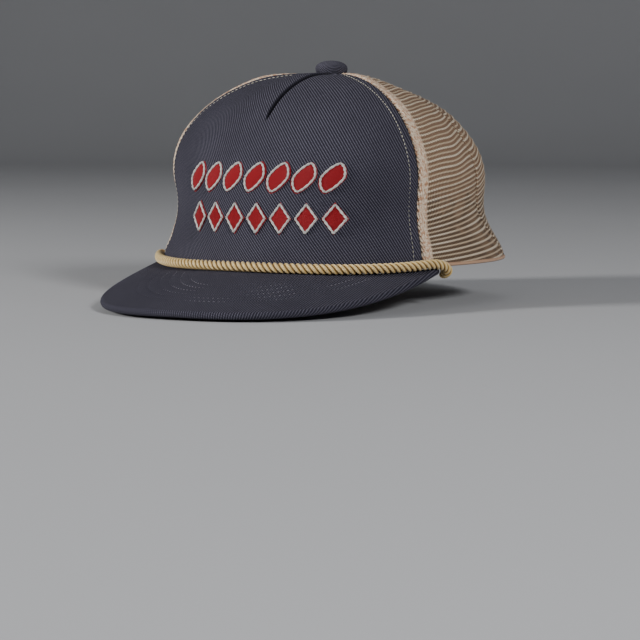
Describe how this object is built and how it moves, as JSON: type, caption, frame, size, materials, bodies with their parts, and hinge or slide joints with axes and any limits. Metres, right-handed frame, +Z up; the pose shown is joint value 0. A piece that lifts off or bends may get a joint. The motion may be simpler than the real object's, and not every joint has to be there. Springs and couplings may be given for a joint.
{
  "type": "baseball cap",
  "caption": "Five-panel rope cap: twill front and nearly flat visor, mesh sides and back, twisted rope over the visor seam, and an adjustable snap strap at the rear.",
  "frame": {"origin": "Centre of the head opening, on the plane of the crown's hem.", "axes": "+Z up through the crown, -Y out along the visor, +X to the wearer's left."},
  "size_m": [0.195, 0.2686, 0.1351],
  "materials": {
    "navy_twill": "fine diagonal twill, matt",
    "beige_mesh": "knitted polyester mesh",
    "beige_tape": "narrow woven tape",
    "navy_tape": "woven cotton tape",
    "sweatband_cloth": "brushed cotton over foam",
    "stiffener": "open-weave buckram, stiffened",
    "visor_plastic": "moulded polyethylene board",
    "gold_rope": "twisted shiny cord",
    "cream_thread": "polyester thread",
    "navy_thread": "polyester thread",
    "red_thread": "satin stitch",
    "white_thread": "satin stitch",
    "steel": "plain pressed steel",
    "strap_plastic": "moulded, slightly glossy"
  },
  "bodies": {
    "cap": {"front_panel": "navy_twill", "front_backing": "stiffener", "side_mesh_left": "beige_mesh", "side_mesh_right": "beige_mesh", "back_mesh_left": "beige_mesh", "back_mesh_right": "beige_mesh", "arch_binding_left": "beige_tape", "arch_binding_right": "beige_tape", "hem_binding_left": "beige_tape", "hem_binding_right": "beige_tape", "front_seam_tape_left": "navy_tape", "front_seam_tape_right": "navy_tape", "back_seam_tape_left": "navy_tape", "back_seam_tape_right": "navy_tape", "centre_back_seam_tape": "navy_tape", "front_seam_stitching_left": "cream_thread", "front_seam_stitching_right": "cream_thread", "strap_bartack_right": "cream_thread", "sweatband": "sweatband_cloth", "visor_top_cover": "navy_twill", "visor_under_cover": "navy_twill", "visor_board": "visor_plastic", "visor_stitching": "navy_thread", "rope": "gold_rope", "button_cover": "navy_twill", "button_shell": "steel", "button_post": "steel", "button_washer": "steel", "hole_strap_tab": "strap_plastic", "embroidery_fill": "red_thread", "embroidery_outline": "white_thread"},
    "peg_side": {"peg_strap": "strap_plastic", "strap_bartack_left": "cream_thread"},
    "hole_side": {"hole_strap": "strap_plastic"}
  },
  "joints": [
    {"name": "size_adjust", "type": "hinge", "parent": "cap", "child": "peg_side", "pos_m": [0, -0.003, 0.01], "axis": [0, 0, 1], "range_deg": [-15, 15], "deforming": ["back_mesh_left", "arch_binding_left", "hem_binding_left", "sweatband"]},
    {"name": "unsnap", "type": "hinge", "parent": "cap", "child": "hole_side", "pos_m": [-0.0377, 0.09032, 0.01], "axis": [0, 0, 1], "range_deg": [0, 60]}
  ]
}
